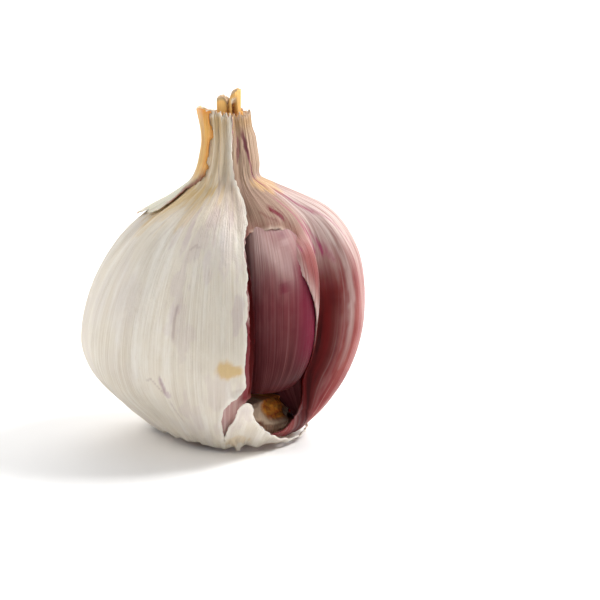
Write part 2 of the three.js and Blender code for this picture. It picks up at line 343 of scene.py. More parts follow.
def store_grain(piece, turn, z, capped=True):
    """Keeps the direction and height that the fibres follow, for a loft's two cap centres too."""
    turn, z = np.broadcast_arrays(turn, z)
    grain = np.stack([np.cos(turn), np.sin(turn), z], -1).reshape(-1, 3)
    if capped:
        grain = np.vstack([grain, grain[:1], grain[-1:]])
    store(piece, "grain", grain)


def thicken(piece, thickness):
    """Gives an open sheet its thickness, inwards."""
    solid = piece.modifiers.new("thickness", "SOLIDIFY")
    solid.thickness = thickness * MM
    solid.offset = -1
    bpy.context.view_layer.objects.active = piece
    bpy.ops.object.modifier_apply(modifier=solid.name)


def numbered(where, first):
    """Counts up from first where a mask is true, and holds -1 elsewhere."""
    number = np.full(where.shape, -1)
    number[where] = first + np.arange(where.sum())
    return number


def crossings(values, inside, where, axis):
    """The points at which a skin's edge crosses its grid lines, each between a point and the next one."""
    share = inside / (inside - np.roll(inside, -1, axis) + 1e-12)
    share = np.clip(share, LEAST_SHARE, 1 - LEAST_SHARE)
    return mix(values[where], np.roll(values, -1, axis)[where], share[where][:, None])


def clipped(skin):
    """The part of a skin that its cuts leave: a table of points with their channels, and the faces.

    The channels are the point itself, the grain that the fibres follow, the distance to the nearest cut
    and the height on the ring.
    """
    inside = skin.inside
    rows, columns = inside.shape
    turn = np.radians(skin.angle)
    grain = (np.cos(turn), np.sin(turn), skin.share * MERIDIAN_LENGTH)
    values = np.dstack([skin.points(), *grain, np.maximum(inside, 0), skin.z])

    kept = inside > 0
    across = kept != np.roll(kept, -1, 1)
    if not skin.whole_turn:
        across[:, -1] = False
    upward = np.zeros_like(kept)
    upward[:-1] = kept[:-1] != kept[1:]
    number = numbered(kept, 0)
    across_number = numbered(across, kept.sum())
    upward_number = numbered(upward, kept.sum() + across.sum())
    on_rows = crossings(values, inside, across, 1)
    on_columns = crossings(values, inside, upward, 0)

    faces = []
    last = columns if skin.whole_turn else columns - 1
    for r in range(rows - 1):
        for c in range(last):
            n = (c + 1) % columns
            corners = (number[r, c], number[r, n], number[r + 1, n], number[r + 1, c])
            if min(corners) >= 0:
                faces.append(corners)
            elif max(corners) >= 0:
                low, high = across_number[r, c], across_number[r + 1, c]
                faces.append(clipped_face(corners, (low, upward_number[r, n], high, upward_number[r, c])))
    faces = [tuple(int(i) for i in face) for face in faces if len(face) > 2]
    return np.vstack([values[kept], on_rows, on_columns]), faces


def clipped_face(corners, sides):
    """A cell's corners that are kept, with the crossings on the sides where the edge passes."""
    face = []
    for k in range(4):
        if corners[k] >= 0:
            face.append(corners[k])
        if (corners[k] >= 0) != (corners[(k + 1) % 4] >= 0):
            face.append(sides[k])
    return face


def largest_patch(table, faces):
    """Drops the loose scraps that a ragged cut leaves."""
    parent = np.arange(len(table))

    def find(i):
        while parent[i] != i:
            parent[i] = parent[parent[i]]
            i = parent[i]
        return i

    for face in faces:
        first = find(face[0])
        for i in face[1:]:
            other = find(i)
            if other != first:
                parent[other] = first
    roots = np.array([find(face[0]) for face in faces])
    names, counts = np.unique(roots, return_counts=True)
    main = names[counts.argmax()]
    faces = [face for face, root in zip(faces, roots) if root == main]
    used = np.unique(np.concatenate([np.array(face) for face in faces]))
    renumber = np.full(len(table), -1)
    renumber[used] = np.arange(len(used))
    return table[used], [tuple(int(renumber[i]) for i in face) for face in faces]


def sheet_piece(name, skin, thickness, marks):
    """A skin as a thin closed sheet, with its marks kept on its points."""
    table, faces = largest_patch(*clipped(skin))
    points, grain, edge, z = table[:, :3], table[:, 3:6], table[:, 6], table[:, 7]
    piece = mesh_object(name, points, faces)
    store(piece, "grain", grain)
    angle = np.degrees(np.arctan2(grain[:, 1], grain[:, 0]))
    radius = np.maximum(np.hypot(points[:, 0] - lean(points[:, 2]), points[:, 1]), NECK_RADIUS)
    for mark, values in marks(angle, z, np.radians(radius), edge).items():
        store(piece, mark, np.clip(values, 0, 1))
    thicken(piece, thickness)
    return piece


# Marks, drawn in angle and height

def blot(angle, z, per_degree, at, half, rag, seed, turn=0.0):
    """A ragged patch, 1 in its middle, round an angle and height. half is its half size in millimetres."""
    x, y = (angle - at[0]) * per_degree, z - at[1]
    tilt = np.radians(turn)
    along, up = x * np.cos(tilt) + y * np.sin(tilt), y * np.cos(tilt) - x * np.sin(tilt)
    away = np.hypot(along / half[0], up / half[1]) + rag * folds(angle, z, 90, 4.0, seed)
    return 1 - smooth(away, 0.75, 1.1)


def stroke(angle, z, per_degree, path, width, seed=0, wobble=0.3):
    """A thin line through angles and heights, fading at its ends."""
    nearest = np.full(angle.shape, 1e3)
    fade = np.zeros(angle.shape)
    shifted = angle + 0.4 * wobble * noise(angle * 0 + 3.5, z / 1.3, 8, seed) / np.maximum(per_degree, 0.05)
    spots = np.array(path, float)
    for i, (start, end) in enumerate(zip(spots[:-1], spots[1:])):
        x, y = (shifted - start[0]) * per_degree, z - start[1]
        run_x, run_y = (end[0] - start[0]) * per_degree, end[1] - start[1]
        share = np.clip((x * run_x + y * run_y) / (run_x ** 2 + run_y ** 2), 0, 1)
        away = np.hypot(x - run_x * share, y - run_y * share)
        whole = (i + share) / (len(spots) - 1)
        fade = np.where(away < nearest, np.minimum(1, 6 * np.minimum(whole, 1 - whole) + 0.25), fade)
        nearest = np.minimum(nearest, away)
    return (1 - smooth(nearest, width * 0.35, width)) * fade


def drawn(tool, angle, z, per_degree, marks):
    """The sum of many marks, each a strength and what its tool, blot or stroke, needs."""
    return sum(strength * tool(angle, z, per_degree, *mark) for strength, *mark in marks)


# Outlines of tears, in angle and height.
# The outer wrapper's: a torn edge up the front, a notch and a flap at its foot, a low rim and the back edge.
WRAPPER_OPENING = (
    (12, 80), (9, 70), (2.5, 65), (1.5, 62), (3.5, 59.2), (9, 54.6), (13, 52.4), (15, 50.3), (12.5, 46.9),
    (10.6, 44.5), (10.5, 40), (9.5, 36), (9, 29), (8.5, 22), (9, 17), (4, 15.4), (-0.2, 12.8), (-1.5, 10),
    (-1.2, 7.4), (0, 5), (2.4, 8.6), (4.8, 11.4), (6.4, 13.6), (8.6, 14.5), (10.8, 14.3), (12.8, 13.2),
    (14, 11), (17.4, 9), (23, 6.9), (32, 5.2), (42, 4.2), (60, 3.2), (95, 3.2), (128, 5), (146, 14),
    (151, 28), (153, 42), (152, 50), (146, 55), (134, 60), (122, 66), (116, 72), (116, 80),
)
# The skin under it, which shows as a narrow strip beside the torn edge and in the notch
UNDER_OPENING = (
    (12, 80), (9, 70), (2, 65), (1, 62), (3, 59.2), (8, 54.6), (12, 52.4), (14, 50.3), (12.3, 46.9),
    (11.1, 44.5), (11.1, 40), (10.9, 35), (10.3, 29), (9.9, 22), (10.2, 15.8), (9.4, 12.6), (9, 9),
    (9, -4), (60, -4), (60, 80),
)
UNDER_FOOT = ((-30, -3), (40, -3), (40, 5.5), (-30, 5.5))
# The inner skin's window onto the clove behind, and the part of it that the outer wrapper hides
INNER_WINDOW = (
    (7, 3.8), (7.5, 11.6), (12.4, 13.5), (12.8, 22), (12.8, 36), (12, 42), (11.6, 45.6), (16, 47.2),
    (24, 47.4), (33, 47.6), (43, 47.6), (46, 46.8), (42.5, 45), (41, 43), (43, 39), (47.5, 35), (51, 31.6),
    (54.5, 27), (55.5, 23), (56, 17), (56.5, 11), (55, 8.4), (50, 6), (42, 4.6), (30, 4), (18, 3.8),
)
INNER_HIDDEN = ((-190, -2), (-26, -2), (-26, 50), (-40, 55), (-150, 55), (-190, 50))
# What is left of the outermost leaf
LEAF_KEPT = (
    (-49, 69.8), (-52, 66.4), (-56, 64), (-55, 60.5), (-54, 57), (-62, 54.4), (-67, 52.4), (-66, 49.2),
    (-80, 46.6), (-100, 45), (-120, 47), (-138, 52), (-144, 58), (-136, 64), (-130, 69.6), (-112, 70.4),
    (-92, 69.4), (-80, 70.2), (-64, 69.4),
)

# Stains, painted shade and blushes: strength, (angle, height), half size in millimetres, raggedness, seed,
# turn in degrees
WRAPPER_STAINS_AND_SHADE = (
    (1.0, (0.5, 20.8), (2.5, 2.3), 0.3, 40),
    (1.0, (4.5, 20.6), (2.2, 1.2), 0.3, 46),
    # painted shade with a tan tint, in the recess right of the leaf's lifted front edge
    (0.4, (-66, 50), (7, 3), 0.6, 44, 25),
    (0.35, (-52, 50), (8, 4), 0.8, 45, 20),
    # painted shade with a brownish tint, under the crumpled fold at the flap's foot
    (0.4, (5.5, 5), (3.2, 0.9), 0.5, 50),
)
WRAPPER_BLUSHES = (
    (0.4, (-16, 41), (5, 7), 0.9, 41),
    (0.3, (-18, 29), (2.2, 5), 0.9, 42),
    (0.55, (6.4, 32.6), (1.2, 3.6), 0.7, 47),
    (0.35, (0, 46), (5, 5), 0.8, 48),
    (0.3, (2, 14), (7, 5), 0.8, 49),
    (1.2, (-25.6, 17.2), (0.6, 2.0), 0.3, 43, 14),
    (0.8, (-24.2, 15.4), (0.9, 0.7), 0.4, 39),
)
SKIN_STAINS = ((1.0, (64, 54), (3.5, 1.6), 0.4, 69),)

# Creases, streaks and bruises: strength, corners in angle and height, width, seed, wobble
WRAPPER_CREASES = (
    (1.0, ((-20, 33), (-20.6, 29.8), (-20.2, 26)), 0.35, 1),
    (0.6, ((-19, 42.6), (-16, 43.4), (-13, 43)), 0.3, 2),
    (0.8, ((-34, 17.6), (-31, 18), (-28, 16.6), (-25, 15.4)), 0.28, 3),
    (1.3, ((-26.4, 19), (-25.8, 17.2), (-24.8, 15.2)), 0.34, 38),
    (0.6, ((-24, 14), (-21, 9)), 0.3, 4),
    (0.9, ((-29, 69.4), (-29, 63), (-24, 58.5), (-17, 55), (-12, 51.5)), 0.24, 5, 0.1),
    (0.7, ((2.4, 55), (4.6, 51), (5, 48)), 0.25, 6),
    (0.5, ((9, 52), (8.5, 46)), 0.25, 7),
    (0.35, ((-36, 44), (-30, 52)), 0.3, 10),
    (0.35, ((-44, 42), (-38, 51)), 0.3, 11),
    (0.35, ((-28, 46), (-22, 54)), 0.3, 12),
    (0.35, ((-52, 43), (-46, 50)), 0.3, 13),
    (0.35, ((-20, 47), (-14, 55)), 0.3, 14),
)
PALE_LINES = (
    (0.55, ((60, 53), (67, 49), (70.5, 43), (71, 34), (70.5, 16)), 0.6, 70),
    (0.35, ((70, 51), (75, 46), (77.5, 38), (78, 24)), 0.7, 71),
)
SKIN_CREASES = (
    (1.4, ((35.5, 50.3), (39, 49.8), (43.5, 49)), 0.6, 60, 0.9),
    (0.5, ((36, 50.9), (40, 50.4)), 0.25, 72),
    (0.4, ((26, 50), (31, 49), (38, 48.6)), 0.3, 61),
    (0.6, ((42, 50.6), (45, 49.2), (46, 47.8)), 0.22, 73),
)
SKIN_STREAKS = (
    (1.0, ((66, 53.4), (69, 51), (71, 48.8)), 0.4, 62),
    (1.0, ((56, 49), (60, 47), (63, 43)), 0.5, 63),
    (1.0, ((60, 50), (64, 46), (66, 42)), 0.4, 64),
    (0.8, ((50, 52), (54, 50), (58, 46)), 0.45, 65),
    (0.9, ((36, 66), (44, 61), (55, 55), (60, 53)), 0.35, 66),
    (0.9, ((40, 47.6), (44, 47.4), (47, 47)), 0.5, 74),
    (0.7, ((44, 46), (46, 43.6)), 0.4, 75),
    (0.7, ((72, 50), (76, 45), (78, 41)), 0.35, 76),
    (0.6, ((66, 45), (68, 40)), 0.35, 77),
    (0.8, ((20, 65), (20, 60)), 0.25, 67),
)
SKIN_BRUISES = (
    (1.0, ((29, 66.5), (37, 64), (46, 61), (55, 57.5), (53, 55)), 0.6, 68, 1.0),
    (1.0, ((15, 62.6), (15.5, 59)), 0.28, 78),
    (0.7, ((24, 64.5), (25, 61)), 0.2, 79),
    (0.6, ((32, 62), (33, 58.5)), 0.2, 80),
)


# The skins

def spans(*parts):
    """Column angles in runs of (start, end, step)."""
    return np.concatenate([np.arange(start, end - step / 2, step) for start, end, step in parts])


def splintered_top(skin, height, tall, fibres, seed):
    """Ends a skin at the neck in splintered fibres."""
    level, turn = 0 * skin.angle, skin.angle / 360
    ragged = 0.5 * folds(skin.angle, level, 26, 9.0, seed, 2)
    ragged = ragged + 0.8 * noise(turn * fibres, level, fibres, seed + 3)
    splits = np.maximum(0, noise(turn * 80, level, 80, seed + 9) - 0.45) * 3
    skin.inside = np.minimum(skin.inside, height + tall * (ragged - splits) - skin.z)


def paper_relief(skin):
    """Soft dents over the cloves, long wrinkles, and creases that gather towards the neck."""
    rise = skin.share * MERIDIAN_LENGTH
    gather = smooth(skin.share, 0.46, 0.8)
    dents = 0.38 * folds(skin.angle, rise, 14, 22.0, 51, 2) * (1 - gather)
    wrinkles = 0.1 * folds(skin.angle, rise, 70, 26.0, 56, 3) * (1 - 0.4 * gather)
    creases = 0.24 * folds(skin.angle, rise, 30, 40.0, 60, 3) * gather
    creases = creases * (1 - 0.5 * smooth(skin.share, 0.85, 0.95))
    foot = 0.4 * folds(skin.angle, rise, 46, 9.0, 63, 2) * (1 - smooth(skin.share, 0.02, 0.12))
    return dents + wrinkles + creases + foot


# Pleats that run down the front of the neck: (angle, width in degrees, depth)
NECK_FOLDS = ((-29, 7, 0.55), (-62, 9, 0.4), (-8, 5, 0.3), (-48, 5, 0.25))


def neck_folds(skin):
    fold = sum(-deep * np.exp(-((skin.angle - at) / wide) ** 2) for at, wide, deep in NECK_FOLDS)
    return fold * smooth(skin.z, 46, 56)


def wrapper_marks(angle, z, per_degree, edge):
    tan = 0.28 * smooth(z, 44, 54) + 0.35 * smooth(z, 62, 69)
    tan = tan + 0.3 * smooth(z, 52, 60) * (1 - smooth(np.abs(angle + 29), 2, 9))
    shoulder_blush = 0.45 * hill(z, 47, 51, 54, 58) * smooth(angle, -24, -6)
    return {
        # The stain mark holds tan stains and painted shade: in the recess beside the leaf's edge and under
        # the crumpled fold at the flap's foot.
        "stain": tan + drawn(blot, angle, z, per_degree, WRAPPER_STAINS_AND_SHADE),
        "blush": shoulder_blush + drawn(blot, angle, z, per_degree, WRAPPER_BLUSHES),
        "crease": drawn(stroke, angle, z, per_degree, WRAPPER_CREASES),
        # a paler torn margin, with a painted highlight along the torn edges
        "rim": 1 - smooth(edge, 0.1, 0.9),
        "neck": smooth(z, 44, 62),
        "tip": smooth(z, 64, 69.5),
    }


def outer_wrapper():
    angles = spans((-265, -100, 1.3), (-100, -40, 0.9), (-40, 24, 0.6), (24, 95, 1.8))
    skin = Skin(angles, OUTER_OUT, 1.0, whole_turn=True)
    skin.cut(torn(WRAPPER_OPENING, 5, bite=0.3))
    splintered_top(skin, NECK_TOP - 0.7, 0.75, 260, 21)
    back_edge = smooth(skin.angle, 70, 100)
    curl = 0.2 + 0.12 * folds(skin.angle, skin.z, 120, 6.0, 31, 2)
    curl = curl * skin.beside_cut(1.4) * (1 - smooth(skin.z, 52, 60)) * (1 - back_edge)
    hugging = 0.4 * back_edge * skin.beside_cut(3.0)
    flap = 1.5 * hill(skin.z, 6, 13, 15, 17) * smooth(skin.angle, 0, 6) * (skin.inside < 8)
    crumpled = np.exp(-((skin.angle - 9) / 5) ** 2 - ((skin.z - 3.4) / 1.3) ** 2)
    crumple = crumpled * (0.5 + 1.1 * folds(skin.angle, skin.z, 120, 1.6, 35, 2))
    skin.out = skin.out + paper_relief(skin) + curl - hugging + flap + neck_folds(skin) + crumple
    return sheet_piece("wrapper_paper", skin, WRAPPER_THICKNESS, wrapper_marks)


def under_marks(angle, z, per_degree, edge):
    beside_tear = hill(z, 12.5, 14.5, 38, 44) * smooth(angle, -6, 4)
    return {"rim": 1 - smooth(edge, 0.6, 2.2), "blush": beside_tear * (1 - 0.8 * hill(z, 29, 31, 35, 37))}


def under_wrapper():
    skin = Skin(spans((-16, 24, 0.5)), UNDER_OUT, 1.0)
    skin.cut(torn(UNDER_OPENING, 8, bite=0.3))
    foot = np.array(UNDER_FOOT, float)
    shares = np.linspace(0, 1, 200)[:, None]
    skin.cut(np.vstack([mix(a, b, shares) for a, b in zip(foot, np.roll(foot, -1, 0))]))
    splintered_top(skin, NECK_TOP - 1.3, 0.7, 240, 27)
    skin.out = skin.out + 0.5 * paper_relief(skin) + 0.12 * folds(skin.angle, skin.z, 100, 6.0, 33, 2)
    return sheet_piece("under_paper", skin, UNDER_THICKNESS, under_marks)


def inner_marks(angle, z, per_degree, edge):
    beside_window = np.exp(-(edge / 1.7) ** 2) * smooth(angle, 34, 42) * hill(z, 18, 30, 44, 47)
    # Painted shade over the skin's own maroon: near black in the valley beside the empty place, and in the
    # narrow strip beside the outer wrapper's torn edge.
    deep = hill(angle, 44, 56, 65, 71) * (1 - smooth(z, 28, 45))
    deep = deep + hill(angle, 0, 4, 15, 19) * hill(z, 12, 15, 42, 47)
    pale = smooth(angle, 46, 62) * smooth(z, 33, 49) + 0.3 * smooth(angle, 71, 80) * smooth(z, 12, 34)
    # painted highlight along the torn edges above the clove: the hem and the splintered top
    rim = (1 - smooth(edge, 0.1, 0.9)) * smooth(angle, 14, 20) * smooth(z, 45, 46.8)
    return {
        "deep": deep * (1 - beside_window),
        "pale": pale + 0.75 * beside_window + drawn(stroke, angle, z, per_degree, PALE_LINES),
        "skirt": (1 - smooth(angle, 50, 68)) * smooth(z, 44, 50) + smooth(z, 54, 58),
        "crease": drawn(stroke, angle, z, per_degree, SKIN_CREASES),
        "streak": drawn(stroke, angle, z, per_degree, SKIN_STREAKS),
        "bruise": drawn(stroke, angle, z, per_degree, SKIN_BRUISES),
        "stain": smooth(z, 64, 69) + drawn(blot, angle, z, per_degree, SKIN_STAINS),
        "neck": smooth(z, 52, 60),
        "tip": smooth(z, 63, 69),
        "rim": rim,
    }


def inner_relief(skin):
    """A tight skin: fine ribs along it, and soft dents between the cloves."""
    rise = skin.share * MERIDIAN_LENGTH
    gather = smooth(skin.share, 0.55, 0.85)
    ribs = 0.05 * folds(skin.angle, rise, 150, 40.0, 71, 2) + 0.09 * folds(skin.angle, rise, 60, 30.0, 72, 2)
    dents = 0.16 * folds(skin.angle, rise, 16, 18.0, 73, 2) * (1 - gather)
    creases = 0.14 * folds(skin.angle, rise, 34, 30.0, 74, 3) * gather
    lobe = 0.55 * np.exp(-((skin.angle - 84) / 22) ** 2) * hill(skin.z, 55, 59, 64, 67)
    return ribs + dents + creases + lobe


def inner_wrapper():
    angles = spans((-180, -30, 2.0), (-30, 10, 1.2), (10, 76, 0.6), (76, 180, 1.0))
    skin = Skin(angles, INNER_OUT, 1.5, sinks=True, whole_turn=True)
    skin.cut(torn(INNER_WINDOW, 9, bite=0.22))
    clinging = skin.beside_cut(2.5) * smooth(skin.angle, 14, 24) * smooth(skin.z, 8, 16)
    corner = smooth(skin.angle, 36, 44) * smooth(skin.z, 36, 43)
    clinging = clinging * (0.8 + 0.45 * smooth(skin.z, 34, 44) + 0.7 * corner)
    skin.cut(torn(INNER_HIDDEN, 15, bite=0.3, step=0.3))
    splintered_top(skin, NECK_TOP - 0.8, 0.8, 250, 33)
    skin.out = skin.out - clinging + inner_relief(skin)
    return sheet_piece("inner_skin", skin, SKIN_THICKNESS, inner_marks)


def leaf_marks(angle, z, per_degree, edge):
    front = smooth(angle, -88, -60)
    return {
        "stain": smooth(z, 50, 59) * (0.3 + 0.75 * front + 0.3 * folds(angle, z, 60, 12.0, 81, 2)),
        # a brown-red line along the lifted front edge: partly the leaf's own brown, partly painted shade of
        # the gap under it
        "crease": (1 - smooth(edge, 0.3, 1.5)) * hill(z, 47.5, 50, 55, 58) * smooth(angle, -86, -78),
        "orange": smooth(z, 53, 57) * np.exp(-edge / 0.9) * front,
    }


def loose_leaf():
    skin = Skin(spans((-148, -32, 0.8)), LEAF_OUT, 0.8)
    skin.cut(torn(LEAF_KEPT, 3, bite=0.8), keep=True)
    lift = 0.85 * smooth(skin.share, 0.88, 1) * (1 - smooth(skin.angle, -82, -58))
    lift = lift + 0.15 * smooth(skin.share, 0.78, 0.9)
    curl = 0.2 * skin.beside_cut(1.2) * (0.4 + folds(skin.angle, skin.z, 110, 4.0, 85, 2))
    standing = 0.6 * hill(skin.angle, -112, -88, -84, -74) * (1 - smooth(skin.z, 45, 51))
    rise = skin.share * MERIDIAN_LENGTH
    wrinkles = 0.1 * folds(skin.angle, rise, 60, 16.0, 86, 3) * smooth(skin.z, 54, 60)
    hugging = 0.42 * skin.beside_cut(1.6) * smooth(skin.angle, -80, -66) * smooth(skin.z, 50, 54)
    skin.out = skin.out + lift + paper_relief(skin) + neck_folds(skin) + wrinkles + curl + standing - hugging
    return sheet_piece("dry_leaf", skin, LEAF_THICKNESS, leaf_marks)


# The cloves

def loft(name, sections):
    """A closed solid through rings of points, with a cap at each end."""
    levels, count = sections.shape[:2]
    points = [tuple(p) for p in sections.reshape(-1, 3)]
    faces = []
    for level in range(levels - 1):
        for i in range(count):
            n = (i + 1) % count
            low, high = level * count, (level + 1) * count
            faces.append((low + i, low + n, high + n, high + i))
    for level, order in ((0, -1), (levels - 1, 1)):
        points.append(tuple(sections[level].mean(0)))
        for i in range(count):
            pair = (level * count + i, level * count + (i + 1) % count)
            faces.append((len(points) - 1,) + pair[::order])
    return mesh_object(name, points, faces)


def beside_plate(z):
    """The side of a clove that faces the axis: round the root plate, then up beside the stalk."""
    slope = mix(PLATE_CLEARANCE, STALK_CLEARANCE, (z - PLATE_HEIGHT) / SLOPE_RISE)
    return np.where(z < PLATE_HEIGHT, PLATE_CLEARANCE, np.maximum(STALK_CLEARANCE, slope))


# How a clove narrows at its tip and foot and thins towards them, and how square its section is
RING_SHAPE = {"tip": 0.55, "foot": 0.4, "blunt": 0.25, "square": 0.7}
INNER_SHAPE = {"tip": 0.2, "foot": 0.14, "blunt": 0.12, "square": 0.55}
CLOVE_LEVELS, CLOVE_STEPS = 84, 76


def clove(name, centre, half_width, radius_at, bottom, top, top_inset, seed, shape):
    """A wedge of the ring with a round back. Gives back the piece and its points' angles and heights."""
    share = np.linspace(0.004, 0.996, CLOVE_LEVELS)[:, None]
    z = mix(bottom, top, (1 - np.cos(np.pi * share)) / 2)
    turn = np.linspace(0, 2 * np.pi, CLOVE_STEPS, endpoint=False)[None]
    outside = radius_at(z)
    inside = np.minimum(beside_plate(z) + 2 * smooth(z, 42, top_inset), outside - 0.2)
    half = (outside - inside) / 2 * np.sin(np.pi * share) ** shape["blunt"]
    narrowing = np.sin(np.pi * share) ** np.where(share > 0.5, shape["tip"], shape["foot"])
    radius = (outside + inside) / 2 + half * signed_power(np.cos(turn), shape["square"])
    clear = half_width - np.degrees(GAP / 2 / radius)
    angle = centre + clear * narrowing * signed_power(np.sin(turn), shape["square"])
    dent = 0.1 * folds(np.degrees(turn), z, 12, 14.0, seed, 2) * np.sin(np.pi * share)
    drawn_in = CLOVE_TUCK * foot_tuck(np.mod(angle + 180, 360) - 180, z) * np.clip(np.cos(turn) + 0.3, 0, 1)
    piece = loft(name, place(angle, radius - 0.12 + dent * np.cos(turn) - drawn_in, z))
    store_grain(piece, turn, z)
    return piece, np.append(angle, [centre] * 2), np.append(z + 0 * turn, [bottom, top])


def ring_clove(number):
    centre = EMPTY_END + PITCH * (number - 0.5)
    ring = outline_at(centre)
    tip_share = (TIP_RADIUS / ring["radius"]) ** ring["power"]
    top = ring["height"] + ring["rise"] * (1 - tip_share) ** (1 / ring["power"])
    piece, _, z = clove(
        f"clove_body_{number}", centre, PITCH / 2, lambda h: ring_radius(centre, h),
        RING_BOTTOM, top, 52, 90 + number, RING_SHAPE,
    )
    store(piece, "pale_top_and_highlight", 0 * z)
    store(piece, "band", 0.5 * smooth(z, 34, 50))
    store(piece, "low", 0 * z + 0.4)
    return piece


# Purple flecks on the inner clove: (angle, top, foot, width in degrees)
FLECKS = ((31, 37.2, 34.6, 1.2), (36, 45.6, 43.6, 1.0), (39, 43.8, 41.6, 1.0), (37.6, 47, 45.4, 1.6))


def inner_clove():
    piece, angle, z = clove(
        "inner_clove_body", (EMPTY_START + EMPTY_END) / 2, (EMPTY_END - EMPTY_START) / 2 - 0.8, inner_radius,
        INNER_BELLY["bottom"] + 0.9, INNER_BELLY["top"], 51, 99, INNER_SHAPE,
    )
    patchy = 0.5 + 0.5 * folds(angle, z, 60, 9.0, 101, 3)
    # Lighter over the upper part: partly the skin's own pale grey, partly a painted highlight on the
    # shoulder. The next line adds a painted diagonal highlight streak.
    pale_top_and_highlight = smooth(z, 31, 46) * np.clip(0.35 + 0.6 * patchy, 0, 1) * (1 - 0.6 * smooth(angle, 38, 48))
    pale_top_and_highlight = pale_top_and_highlight + 0.8 * np.exp(-(((angle - 33) * 0.4 + (z - 40.5)) / 2.6) ** 2 - ((angle - 31) / 11) ** 2)
    band = smooth(angle + 0.25 * (z - 30), 35, 45) * hill(z, 15, 24, 39, 44)
    for at, high, low, wide in FLECKS:
        upright = hill(z, low - 0.5, low + 0.5, high - 0.5, high + 0.5)
        band = band + 0.8 * np.exp(-((angle - at + 0.5 * (z - low)) / wide) ** 2) * upright
    store(piece, "pale_top_and_highlight", np.clip(pale_top_and_highlight, 0, 1))
    store(piece, "band", np.clip(band, 0, 1))
    # Darker towards the bottom: partly the skin's own deep wine, partly painted shade where the clove's foot
    # lies recessed.
    store(piece, "low", 1 - smooth(z, 12, 44))
    return piece


# The stalk: dry and fibrous, cut on a slant and split down the middle
STALK_RADIUS = 2.5
STALK_FOOT = 12.3
STALK_STEPS, STALK_ROWS, STALK_CAP_RINGS = 144, 110, 9


def scape():
    turn = np.linspace(0, 2 * np.pi, STALK_STEPS, endpoint=False)
    angle = np.degrees(turn)
    from_front = np.mod(angle + 180, 360) - 180
    across = np.sin(turn)
    split = np.exp(-((np.mod(angle + 94, 180) - 90) / 8) ** 2)
    left = 1 - smooth(across, -0.2, 0.02)
    right_top = 74.5 - 1.1 * (1 - smooth(across, 0.1, 0.75))
    left_top = 73.0 - 2.5 * (across + 0.55) ** 2
    top = mix(right_top, left_top, left) - 1.2 * split + 0.12 * folds(angle, 0, 60, 4.0, 111, 2)
    z = mix(STALK_FOOT, top[None], np.linspace(0, 1, STALK_ROWS)[:, None] ** 0.7)
    rough = 0.04 * folds(angle, z, 26, 30.0, 112, 3) + 0.02 * folds(angle, z, 90, 8.0, 113, 2)
    window = np.exp(-((from_front - 30) / 15) ** 4) * hill(z, 68.2, 69, 72.2, 72.9)
    body = STALK_RADIUS * (1 + 0.03 * np.cos(3 * turn)) * (1 + rough)
    body = body - 0.75 * split * smooth(z, 60, 70) - window
    rings = [place(angle, body, z)]
    for i in range(1, STALK_CAP_RINGS):
        inward = 1 - i / STALK_CAP_RINGS
        sink = 0.7 * smooth(1 - inward, 0.1, 0.55) + 0.2 * folds(angle, i * 2.0, 20, 3.0, 115, 2)
        low = np.minimum(top, mix(top, top.mean() - 0.3, 1 - inward ** 2)) - sink
        rings.append(place(angle, body[-1] * inward, low)[None])
    piece = loft("stalk_wood", np.concatenate(rings))
    points = np.array([v.co for v in piece.data.vertices]) / MM
    spin = np.arctan2(points[:, 0] - lean(points[:, 2]), -points[:, 1])
    store_grain(piece, spin, points[:, 2], capped=False)
    pith = hill(z, 71.5, 72.0, 72.5, 73.0) * np.exp(-((from_front - 27) / 16) ** 4)
    grey = left * smooth(z - top, -0.9, -0.1)
    # painted shade: darker in the hollow behind the window and down the split
    hollow = np.clip(window * (1 - pith) + 0.8 * split * smooth(z, 64, 69), 0, 1)
    on_cap = len(points) - z.size
    for name, values, cap_value in (("hollow", hollow, 0.5), ("pith", pith, 0.35), ("grey", grey, 0.2)):
        store(piece, name, np.append(values, np.full(on_cap, cap_value)))
    return piece


# Thin layers rolled round the stalk, which fill the neck
CORE_TURNS = 2.2
CORE_RADIUS, CORE_SPREAD = 2.72, 0.3
CORE_FOOT, CORE_TOP = 60.0, 69.2
CORE_ROWS, CORE_COLUMNS = 46, 300


def neck_core():
    wind = np.linspace(0, 1, CORE_COLUMNS)
    angle = 40 + 360 * CORE_TURNS * wind
    in_turn = np.mod(angle, 360)
    top = CORE_TOP + 0.5 * folds(in_turn, 0, 70, 4.0, 121, 4) + 0.3 * np.sin(np.radians(angle))
    z = mix(CORE_FOOT, top[None], np.linspace(0, 1, CORE_ROWS)[:, None])
    radius = CORE_RADIUS + CORE_SPREAD * wind + 0.05 * folds(in_turn, z, 40, 12.0, 123, 2)
    faces = []
    for row in range(CORE_ROWS - 1):
        for column in range(CORE_COLUMNS - 1):
            low = row * CORE_COLUMNS + column
            high = low + CORE_COLUMNS
            faces.append((low, low + 1, high + 1, high))
    piece = mesh_object("neck_core", place(angle, radius, z).reshape(-1, 3), faces)
    store_grain(piece, np.radians(angle), z, capped=False)
    for name in ("hollow", "pith", "grey"):
        store(piece, name, np.zeros(z.size))
    thicken(piece, CORE_THICKNESS)
    return piece


# The root plate, with the scar of the missing clove and cut root stubs
PLATE_OUTLINE = (
    (0.01, 0), (3, 0), (6.2, 0), (6.6, 0.25), (7, 0.9), (10.8, 1.4), (12.8, 2.0), (16.0, 2.1), (16.1, 2.5),
    (13.2, 2.9), (13.4, 4.2), (12.8, 5.4), (9.6, 8), (6.4, 10), (3.6, 11.6), (2.4, 12), (0.01, 12),
)
PLATE_RINGS, PLATE_STEPS = 150, 300
SCAR_ANGLE = 43.0
SCAR_RADIUS = 13.0


